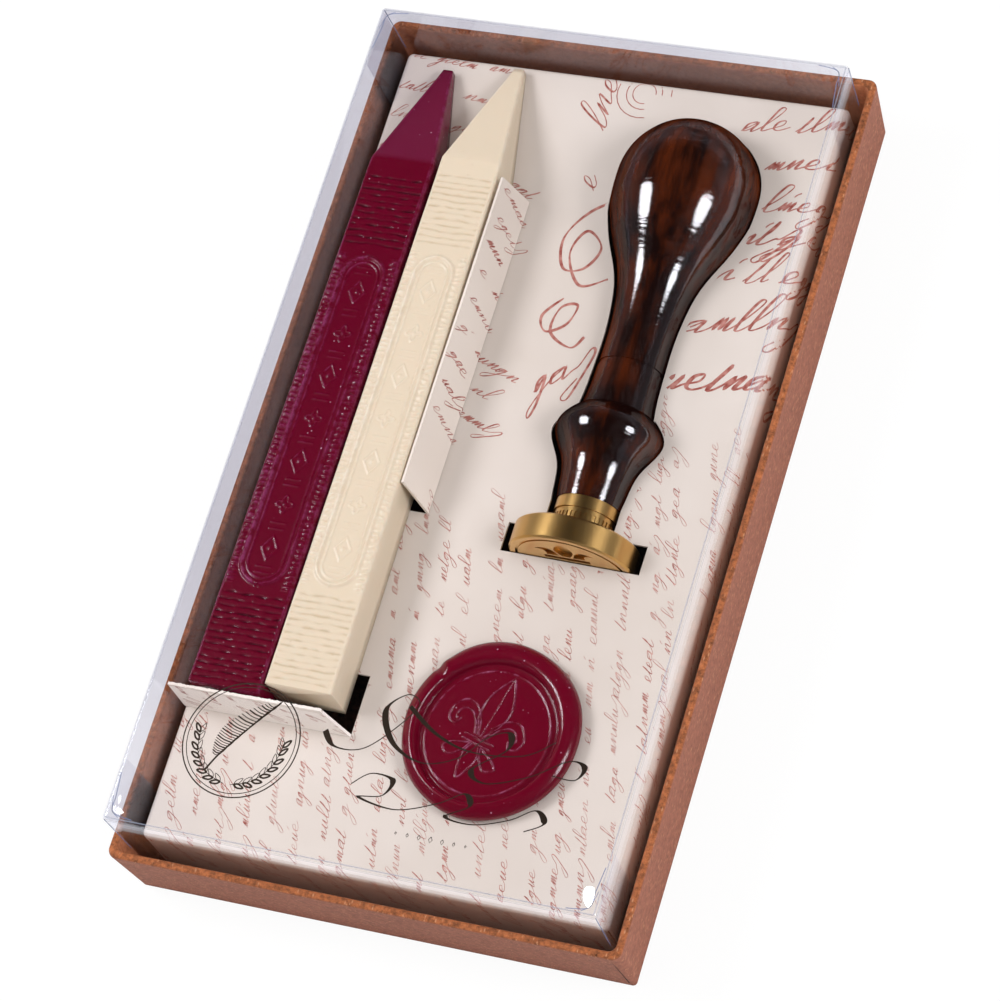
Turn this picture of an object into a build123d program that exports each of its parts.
from build123d import *
from math import atan2, cos, degrees, radians, sin, tan
import os

# Boxed wax seal set: a paper-wrapped tray, a clear lift-off cover and a folded card
# insert that holds two sticks of sealing wax, a turned stamp and a pressed seal.
# Millimetres. Origin: centre of the tray's underside. +Z up, +Y along the tray,
# away from the open ends of the sticks.

# ---- tray ------------------------------------------------------------------------
tray_width = 92.7        # outside, at the foot
tray_length = 168.6      # outside, at the foot
tray_height = 16.1
tray_flare = 4.0         # lean of the four walls, degrees
tray_corner = 0.7        # outside corner radius
board = 1.1              # greyboard
wrap = 0.15              # covering paper
liner = 0.15             # sheet pasted on the floor
base_sheet = 0.15        # sheet pasted under the base
base_inset = 0.4         # its edges from the foot of the walls
rim_round = 0.5

# ---- clear cover -----------------------------------------------------------------
film = 0.25
cover_gap = 0.8          # cover to the tray walls, at the floor, when centred
cover_end_gap = 1.15
cover_shift = (0.35, -0.95)      # the loose cover lies against one corner
cover_lean = 2.0         # its long walls spread towards the top, degrees
cover_fold = 0.8         # outside radius of its folds
tab_length = 11.0
tab_round = 9.0
tab_foot_gap = 0.5
tab_head_gap = 1.1

# ---- card insert -----------------------------------------------------------------
card = 0.5
card_height = 14.4       # top face above the table
card_gap = 0.7           # skirts to the inside of the cover, at the sides
card_end_gap = 1.6
card_fold = 1.2
card_slit = 1.6          # open corner between two skirts
card_slit_drop = 1.7     # slits stop this far below the top face

# ---- sealing wax sticks ----------------------------------------------------------
stick_length = 129.4
stick_point = 23.5       # length of the sloping point
burgundy_widths = (13.5, 12.1)   # across the printed face, at the foot and the point
ivory_widths = (12.6, 10.7)
stick_draft = 0.12       # each side grows by this much towards the back
stick_height = 8.5
stick_tip_width = 1.6
stick_tip_height = 1.2
stick_gap = 0.3          # between the two sticks, at the back
stick_margin = 2.8       # burgundy stick from the left edge of the card
burgundy_foot = 1.4      # foot of each stick from the end flap
ivory_foot = 3.5
rib_pitch = 1.25
rib_width = 0.45
rib_depth = 0.25
rib_margin = 1.4         # ribs stop short of the sides
foot_ribs = 13
head_ribs = 12
rib_inset = 1.0          # first rib from the end of the printed face
frame_line = 0.45        # cartouche lines
frame_step = 1.25
frame_rise = 0.25
stick_round = 0.35       # long edges of the printed face
frame_side = 2.9         # outer line from the side of the stick
frame_clear = 1.0        # cartouche ends from the ribs
dentil_pitch = 1.9
dentil_width = 1.2
dentil_length = 1.1
dentil_side = 1.5        # dentil centre from the side of the stick

# ---- stamp -----------------------------------------------------------------------
bulb_radius = 13.2
die_radius = 11.5
die_thick = 4.8
die_edge = 0.35
die_cut = 0.7            # depth of the engraving
die_ring = (1.3, 0.5)    # engraved ring: from the edge, and its width
collar_radius = 5.5
collar_length = 4.05
collar_teeth = 40
collar_plain = 0.8       # plain band at each end of the knurling
tooth_depth = 0.22
ferrule_radius = 5.8
ferrule_length = 2.2
tenon_radius = 4.6
sleeve_radius = 3.0
sleeve_length = 12.0
stud_radius = 1.95
stud_length = 9.0
stud_end_gap = 1.0       # end of the stud to the closed end of the sleeve
thread_clearance = 0.05
turning_gap = 0.05       # between the die's collar and the ferrule
groove_depth = 0.25
groove_width = 0.8
stamp_margin = 25.3      # axis at the stamp's middle, from the right edge of the card
stamp_middle = 27.7      # middle of the stamp from the middle of the card
stamp_turn = -0.6        # degrees about Z
rest_gap = 0.15          # stamp to the floor and to the cover

# Stations along the stamp, from the engraved face towards the end of the handle.
wood_start = die_thick + collar_length + turning_gap
wood_shoulder = wood_start + ferrule_length
groove_at = 37.7
bulb_at = 74.2
stamp_length = 87.6

# Turned outline of the handle: (radius, station).
foot_outline = [(5.95, wood_shoulder), (6.35, 14.4), (7.05, 18.1), (8.2, 20.4), (9.35, 22.4),
                (9.9, 24.8), (8.9, 27.0), (7.05, 29.0)]
neck_outline = [(6.75, 29.0), (6.35, 32.0), (6.1, 37.0), (6.0, 44.0), (6.55, 50.5), (7.45, 55.0),
                (9.0, 59.0), (10.9, 63.0), (12.4, 67.2), (bulb_radius, bulb_at)]
neck_radius = 6.1        # at the groove

# ---- card cut-outs and flaps -----------------------------------------------------
cut_clear_right = 0.3    # handle cut-out round the handle
cut_clear_left = 0.9
slot_front = 0.15        # die slot, in front of, behind and beside the die
slot_back = 0.6
slot_side = 1.5
end_flap_margin = 25.3   # crease from the front edge of the card
end_flap_side = 0.1      # left end from the left edge of the card
end_flap_reach = 2.2     # right end beyond the ivory stick
end_flap_height = 9.4
end_flap_slant = 2.4
end_hole_side = 1.9      # hole from the left edge of the card
end_hole_depth = 11.2
side_flap_reach = 2.75   # crease from the side of the ivory stick
side_flap_start = 39.6   # from the foot of the ivory stick
side_flap_length = 63.6
side_flap_slant = 1.6
side_flap_height = 8.9
side_flap_lean = 19.0    # degrees from upright, towards the stick
crease_gap = 0.05        # a flap's foot above the card

# ---- pressed seal ----------------------------------------------------------------
seal_beside = 4.4        # centre from the stamp's axis
seal_before = 33.7       # centre from the die's face
seal_radius = 15.8       # half its width
seal_half_length = 16.45 # slightly oval, along Y
seal_foot = 1.0          # undercut of its edge on the card
seal_height = 3.2
seal_floor = 1.5
seal_impression = 12.1
seal_lip = 1.5           # crest of the lip from the impression
seal_ring = (1.0, 0.35)  # thin ring: from the edge of the impression, and its width
glue_radius = 6.0
glue = 0.15
relief = 0.3
lily_height = 17.0
lily_turn = -15.5        # degrees

# ---- how far a cutting solid runs past what it cuts ----------------------------------
past = 1.0

# ---- worked out ------------------------------------------------------------------
flare = tan(radians(tray_flare))
floor_top = base_sheet + board
stand = floor_top + liner                             # what stands in the tray rests here
inner_half_width = tray_width / 2 - 2 * wrap - board + floor_top * flare
inner_half_length = tray_length / 2 - 2 * wrap - board + floor_top * flare
cover_width = 2 * (inner_half_width - cover_gap)
cover_length = 2 * (inner_half_length - cover_end_gap)
card_width = cover_width - 2 * (film + card_gap)
card_length = cover_length - 2 * (film + card_end_gap)
bulb_z = stand + rest_gap + bulb_radius
die_z = stand + rest_gap + die_radius
cover_top = bulb_z + bulb_radius + rest_gap + film
stamp_pitch = degrees(atan2(bulb_z - die_z, bulb_at - die_thick / 2))
burgundy_x = -card_width / 2 + stick_margin + burgundy_widths[0] / 2 + stick_draft
ivory_x = burgundy_x + (burgundy_widths[0] + ivory_widths[0]) / 2 + 2 * stick_draft + stick_gap
ivory_side = ivory_x + ivory_widths[0] / 2 + stick_draft
end_flap_y = -card_length / 2 + end_flap_margin
side_flap_x = ivory_side + side_flap_reach
side_flap_front = end_flap_y + ivory_foot + side_flap_start
side_flap_back = side_flap_front + side_flap_length
stamp_x = card_width / 2 - stamp_margin
stamp_face_y = stamp_middle - stamp_length / 2
face_length = stick_length - stick_point


def stamp_place():
    """Local frame of the stamp: +Y along the handle, origin on the engraved face."""
    lift = die_z - die_thick / 2 * tan(radians(stamp_pitch))
    mid = Location((stamp_x, stamp_middle, lift), (0, 0, stamp_turn))
    return mid * Location((0, -stamp_length / 2, 0), (stamp_pitch, 0, 0))


def flared(width, length, low, high, radius):
    """Block with the tray's lean; width and length are those at the foot of the tray."""
    grow = 2 * low * flare
    foot = Plane.XY.offset(low) * RectangleRounded(width + grow, length + grow, radius)
    return extrude(foot, high - low, taper=-tray_flare)


def folded(width, length, low, high, radius):
    """Upright block whose corners and top edges are rounded like folds."""
    block = extrude(Plane.XY.offset(low) * RectangleRounded(width, length, radius), high - low)
    return fillet(block.edges().group_by(Axis.Z)[-1], radius * 0.98)


def top_edges(shape, level):
    return [e for e in shape.edges() if abs(e.center().Z - level) < 0.01]


def make_base_sheet():
    inset = 2 * base_inset
    return extrude(RectangleRounded(tray_width - inset, tray_length - inset, tray_corner), base_sheet)


def make_tray_board():
    out = 2 * wrap
    solid = flared(tray_width - out, tray_length - out, base_sheet, tray_height - wrap,
                   tray_corner - wrap)
    inset = out + 2 * board
    hollow = flared(tray_width - inset, tray_length - inset, floor_top, tray_height + past,
                    max(tray_corner - wrap - board, 0.3))
    tray = solid - hollow
    return fillet(top_edges(tray, tray_height - wrap), rim_round - wrap)


def make_tray_wrap(tray):
    solid = flared(tray_width, tray_length, base_sheet, tray_height, tray_corner)
    inset = 4 * wrap + 2 * board
    hollow = flared(tray_width - inset, tray_length - inset, floor_top, tray_height + past, 0.3)
    skin = solid - hollow
    skin = fillet(top_edges(skin, tray_height), rim_round)
    return skin - tray


def make_floor_liner():
    sheet = Rectangle(2 * inner_half_width - 0.2, 2 * inner_half_length - 0.2)
    return extrude(Plane.XY.offset(floor_top) * sheet, liner)


def spread(width, length, low, high, radius):
    """Block like a folded one, whose long walls lean outwards; width is that at its foot."""
    half, top = width / 2, width / 2 + (high - low) * tan(radians(cover_lean))
    end = Polyline((-half, low), (half, low), (top, high), (-top, high), close=True)
    block = extrude(Plane.XZ * make_face(end), length / 2, both=True)
    flat = block.edges().group_by(Axis.Z)[0]
    return fillet([e for e in block.edges() if e not in flat], radius * 0.98)


def make_cover():
    outer = spread(cover_width, cover_length, stand, cover_top, cover_fold)
    inner = spread(cover_width - 2 * film, cover_length - 2 * film, stand, cover_top - film,
                   cover_fold - film)
    return Pos(*cover_shift) * (outer - inner)


def make_corner_tabs():
    """Glued ears inside the long walls of the cover, one at each corner."""
    low = stand + tab_foot_gap
    high = cover_top - film - tab_head_gap
    lean = radians(cover_lean)
    middle = (low + high) / 2
    reach = cover_length / 2 - cover_fold - tab_length / 2
    ear = Rectangle(tab_length, high - low)
    ear = fillet(ear.vertices().sort_by(Axis.X)[0:1], tab_round)
    tabs = {}
    for side, side_name in ((1, "right"), (-1, "left")):
        for end, end_name in ((1, "back"), (-1, "front")):
            wall = side * (cover_width / 2 - film + (middle - stand) * tan(lean))
            face = Plane(origin=(wall, end * reach, middle), x_dir=(0, end, 0),
                         z_dir=(end * cos(lean), 0, -side * end * sin(lean))) * ear
            tab = Pos(*cover_shift) * extrude(face, -side * end * film)
            tabs[f"cover_tab_{end_name}_{side_name}"] = tab
    return tabs


def handle_line(clear=0.0):
    """Half outline of the turned handle, grown by clear; X is radius, Y the station."""
    foot = Spline(*[(r + clear, station) for r, station in foot_outline])
    step = Line(foot @ 1, (neck_outline[0][0] + clear, neck_outline[0][1]))
    neck = Spline(*[(r + clear, station) for r, station in neck_outline],
                  tangents=[(-0.15, 1), (0, 1)])
    tip = stamp_length + clear
    shoulder = (bulb_radius * 0.78 + clear, bulb_at + 0.64 * (tip - bulb_at))
    dome = Spline(neck @ 1, shoulder, (0, tip), tangents=[(0, 1), (-1, 0)])
    return [foot, step, neck, dome]


def make_handle():
    under = Polyline((0, stamp_length), (0, wood_start), (tenon_radius, wood_start),
                     (tenon_radius, wood_shoulder), foot_outline[0])
    wood = revolve(make_face(handle_line() + [under]), Axis.Y)
    bore = Plane.XZ.offset(-wood_start) * Circle(sleeve_radius)
    wood -= extrude(bore, -sleeve_length)
    ring = Circle(bulb_radius) - Circle(neck_radius - groove_depth)
    return wood - extrude(Plane.XZ.offset(-groove_at) * ring, groove_width / 2, both=True)


def make_ferrule():
    ring = Circle(ferrule_radius) - Circle(tenon_radius)
    return extrude(Plane.XZ.offset(-wood_start) * ring, -ferrule_length)


def make_sleeve():
    ring = Circle(sleeve_radius) - Circle(stud_radius + thread_clearance)
    tube = extrude(Plane.XZ.offset(-wood_start) * ring, -sleeve_length)
    bored = stud_length + stud_end_gap
    plug = Plane.XZ.offset(-wood_start - bored) * Circle(stud_radius + thread_clearance)
    return tube + extrude(plug, -(sleeve_length - bored))


def lily(height):
    """Heraldic lily: a tall centre leaf, two curled side leaves, a band and a three-part foot."""
    h = height / 2
    leaf = make_face([Spline((0, h), (0.30 * h, 0.40 * h), (0.10 * h, -0.20 * h)),
                      Line((0.10 * h, -0.20 * h), (-0.10 * h, -0.20 * h)),
                      Spline((-0.10 * h, -0.20 * h), (-0.30 * h, 0.40 * h), (0, h))])
    curl = make_face([Spline((0.16 * h, -0.20 * h), (0.36 * h, 0.34 * h), (0.72 * h, 0.34 * h),
                             (0.84 * h, -0.02 * h), (0.66 * h, -0.10 * h)),
                      Spline((0.66 * h, -0.10 * h), (0.62 * h, 0.08 * h), (0.46 * h, -0.20 * h)),
                      Line((0.46 * h, -0.20 * h), (0.16 * h, -0.20 * h))])
    band = Pos(0, -0.31 * h) * Rectangle(1.0 * h, 0.12 * h)
    stem = make_face([Line((0.08 * h, -0.42 * h), (-0.08 * h, -0.42 * h)),
                      Spline((-0.08 * h, -0.42 * h), (-0.20 * h, -0.72 * h), (0, -h)),
                      Spline((0, -h), (0.20 * h, -0.72 * h), (0.08 * h, -0.42 * h))])
    root = make_face([Line((0.42 * h, -0.42 * h), (0.16 * h, -0.42 * h)),
                      Spline((0.16 * h, -0.42 * h), (0.36 * h, -0.72 * h), (0.66 * h, -0.62 * h)),
                      Spline((0.66 * h, -0.62 * h), (0.46 * h, -0.60 * h), (0.42 * h, -0.42 * h))])
    halves = [curl, root]
    return Sketch() + [leaf, band, stem] + halves + [mirror(half, Plane.YZ) for half in halves]


def make_die():
    disc = Plane.XZ * Circle(die_radius)
    head = chamfer(extrude(disc, -die_thick).edges(), die_edge)
    collar = extrude(Plane.XZ.offset(-die_thick) * Circle(collar_radius), -collar_length)
    notch = Rectangle(2 * tooth_depth, 0.4)
    flutes = Sketch() + [at * notch for at in PolarLocations(collar_radius, collar_teeth)]
    flutes = Plane.XZ.offset(-die_thick - collar_plain) * flutes
    collar -= extrude(flutes, -(collar_length - 2 * collar_plain))
    stud = extrude(Plane.XZ.offset(-die_thick - collar_length) * Circle(stud_radius), -stud_length)
    engraved = Plane.XZ * (Rot(0, 0, 180) * lily(lily_height))
    edge = die_radius - die_ring[0]
    ring = Plane.XZ * (Circle(edge) - Circle(edge - die_ring[1]))
    return head + collar + stud - extrude(engraved, -die_cut) - extrude(ring, -die_cut / 2)


def cut_out_half(clear):
    """Right half of the card's cut-out for the handle, ferrule and collar."""
    beside = foot_outline[0][0] + clear
    inside = (die_thick + slot_back) / 2
    close = Polyline((0, stamp_length + clear), (0, inside), (beside, inside),
                     (beside, wood_shoulder))
    return make_face(handle_line(clear) + [close])


def make_card():
    outer = folded(card_width, card_length, stand, card_height, card_fold)
    inner = folded(card_width - 2 * card, card_length - 2 * card, stand, card_height - card,
                   card_fold - card)
    sheet = outer - inner
    deep = card_height + past
    for x in (-1, 1):
        for y in (-1, 1):
            corner = Pos(x * card_width / 2, y * card_length / 2) * Rectangle(card_slit, card_slit)
            sheet -= extrude(corner, card_height - card_slit_drop)
    shape = cut_out_half(cut_clear_right) + mirror(cut_out_half(cut_clear_left), Plane.YZ)
    slot = Pos(0, (die_thick + slot_back - slot_front) / 2) * Rectangle(
        2 * (die_radius + slot_side), die_thick + slot_front + slot_back)
    place = Pos(stamp_x, stamp_middle) * Rot(0, 0, stamp_turn) * Pos(0, -stamp_length / 2)
    sheet -= extrude(place * (shape + slot), deep)
    hole_left = -card_width / 2 + end_hole_side
    hole_right = ivory_side + end_flap_reach
    hole = Pos((hole_left + hole_right) / 2, end_flap_y + end_hole_depth / 2)
    sheet -= extrude(hole * Rectangle(hole_right - hole_left, end_hole_depth), deep)
    hole = Pos(side_flap_x - side_flap_height / 2, (side_flap_back + side_flap_front) / 2)
    return sheet - extrude(hole * Rectangle(side_flap_height, side_flap_length), deep)


def make_end_flap():
    """Tab cut from the card and folded upright behind the feet of the sticks."""
    low = card_height + crease_gap
    left, right = -card_width / 2 + end_flap_side, ivory_side + end_flap_reach
    high = low + end_flap_height
    outline = Polyline((left, low), (right, low), (right - end_flap_slant, high), (left, high),
                       (left, low))
    return extrude(Plane.XZ.offset(-end_flap_y) * make_face(outline), card)


def make_side_flap():
    """Tab cut from the card and folded up against the side of the ivory stick."""
    outline = Polyline((side_flap_front, 0), (side_flap_back, 0), (side_flap_back, side_flap_height),
                       (side_flap_front + side_flap_slant, side_flap_height),
                       (side_flap_front, 0))
    lean = radians(side_flap_lean)
    plane = Plane(origin=(side_flap_x, 0, card_height + crease_gap), x_dir=(0, 1, 0),
                  z_dir=(cos(lean), 0, sin(lean)))
    return extrude(plane * make_face(outline), card)


def make_stick(x, foot, widths):
    """Stick cast face down: flat back, drafted sides, point sloping to the back."""
    stick_width, stick_shoulder = widths

    def section(grow, level):
        a, b = stick_width / 2 + grow, stick_shoulder / 2 + grow
        return [(-a, 0, level), (a, 0, level), (b, face_length, level), (-b, face_length, level)]
    low = section(stick_draft, 0)
    high = section(0, stick_height)
    tip = [(stick_tip_width / 2, stick_length, 0), (-stick_tip_width / 2, stick_length, 0)]
    tip_top = [(p[0], p[1], stick_tip_height) for p in tip]
    def patch(*corners):
        return Face(Polyline(*corners, close=True).wire())
    faces = [
        patch(low[0], low[1], low[2], tip[0], tip[1], low[3]), patch(*high),
        patch(low[0], low[1], high[1], high[0]), patch(low[1], low[2], high[2], high[1]),
        patch(low[3], low[0], high[0], high[3]), patch(high[3], high[2], tip_top[0], tip_top[1]),
        patch(tip[0], tip[1], tip_top[1], tip_top[0]),
        patch(low[2], tip[0], tip_top[0]), patch(low[2], tip_top[0], high[2]),
        patch(low[3], tip_top[1], tip[1]), patch(low[3], high[3], tip_top[1]),
    ]
    stick = Solid(Shell(faces))
    long_edges = [e for e in top_edges(stick, stick_height) if abs(e.tangent_at(0.5).Y) > 0.9]
    stick = fillet(long_edges, stick_round)
    top = Plane.XY.offset(stick_height)
    ribs = Sketch()
    for n in range(foot_ribs):
        ribs += Pos(0, rib_inset + n * rib_pitch) * Rectangle(stick_shoulder - rib_margin, rib_width)
    for n in range(head_ribs):
        y = face_length - rib_inset - n * rib_pitch
        ribs += Pos(0, y) * Rectangle(stick_shoulder - rib_margin, rib_width)
    stick -= extrude(top * ribs, -rib_depth)
    frame_low = rib_inset + foot_ribs * rib_pitch + frame_clear
    frame_high = face_length - rib_inset - head_ribs * rib_pitch - frame_clear
    long, wide = frame_high - frame_low, stick_shoulder - 2 * frame_side + frame_step
    middle = Pos(0, (frame_low + frame_high) / 2) * Rot(0, 0, 90)
    lines = Sketch()
    for step in (0, frame_step):
        outer = SlotOverall(long - 2 * step, wide - 2 * step)
        lines += middle * (outer - offset(outer, -frame_line))
    stick += extrude(top * lines, frame_rise)
    dentils = Sketch()
    count = int(long // dentil_pitch)
    for n in range(count):
        for side in (-1, 1):
            place = Pos(side * (stick_shoulder / 2 - dentil_side), frame_low + (n + 0.5) * dentil_pitch)
            dentils += place * Rectangle(dentil_length, dentil_width)
    stick += extrude(top * dentils, frame_rise)
    return Pos(x, end_flap_y + foot, card_height) * stick


def make_seal():
    """Puddle of wax pressed with the die: swollen lip, flat impression, raised lily."""
    r, top, hollow = seal_radius, seal_height, seal_impression
    crest = hollow + seal_lip
    line = [Polyline((0, seal_floor), (0, 0), (r - seal_foot, 0)),
            Spline((r - seal_foot, 0), (r, top * 0.36), (r * 0.93, top * 0.9), (crest, top)),
            Spline((crest, top), (hollow + seal_lip * 0.2, top * 0.85), (hollow, seal_floor)),
            Line((hollow, seal_floor), (0, seal_floor))]
    wax = revolve(Plane.XZ * make_face(line), Axis.Z)
    edge = hollow - seal_ring[0]
    thin = Circle(edge) - Circle(edge - seal_ring[1])
    pattern = Plane.XY.offset(seal_floor) * (thin + Rot(0, 0, lily_turn) * lily(lily_height))
    wax += extrude(pattern, relief)
    wax = scale(wax, (1, seal_half_length / seal_radius, 1))
    return Pos(stamp_x - seal_beside, stamp_face_y - seal_before, card_height + glue) * wax


def make_glue_dot():
    dot = extrude(Circle(glue_radius), glue)
    return Pos(stamp_x - seal_beside, stamp_face_y - seal_before, card_height) * dot


def build():
    tray = make_tray_board()
    stamp = stamp_place()
    nodes = {
        "base_sheet": make_base_sheet(),
        "tray_board": tray,
        "tray_wrap": make_tray_wrap(tray),
        "floor_liner": make_floor_liner(),
        "cover_film": make_cover(),
        **make_corner_tabs(),
        "insert_card": make_card(),
        "end_flap": make_end_flap(),
        "side_flap": make_side_flap(),
        "wax_stick_burgundy": make_stick(burgundy_x, burgundy_foot, burgundy_widths),
        "wax_stick_ivory": make_stick(ivory_x, ivory_foot, ivory_widths),
        "stamp_handle": stamp * make_handle(),
        "stamp_ferrule": stamp * make_ferrule(),
        "stamp_sleeve": stamp * make_sleeve(),
        "stamp_die": stamp * make_die(),
        "wax_seal": make_seal(),
        "seal_glue_dot": make_glue_dot(),
    }
    os.makedirs("parts", exist_ok=True)
    for name, shape in nodes.items():
        export_step(shape, f"parts/{name}.step")
    turned = (stamp * Pos(0, 1, 0)).position - stamp.position
    print("stamp", stamp.position, "points along", turned)


build()
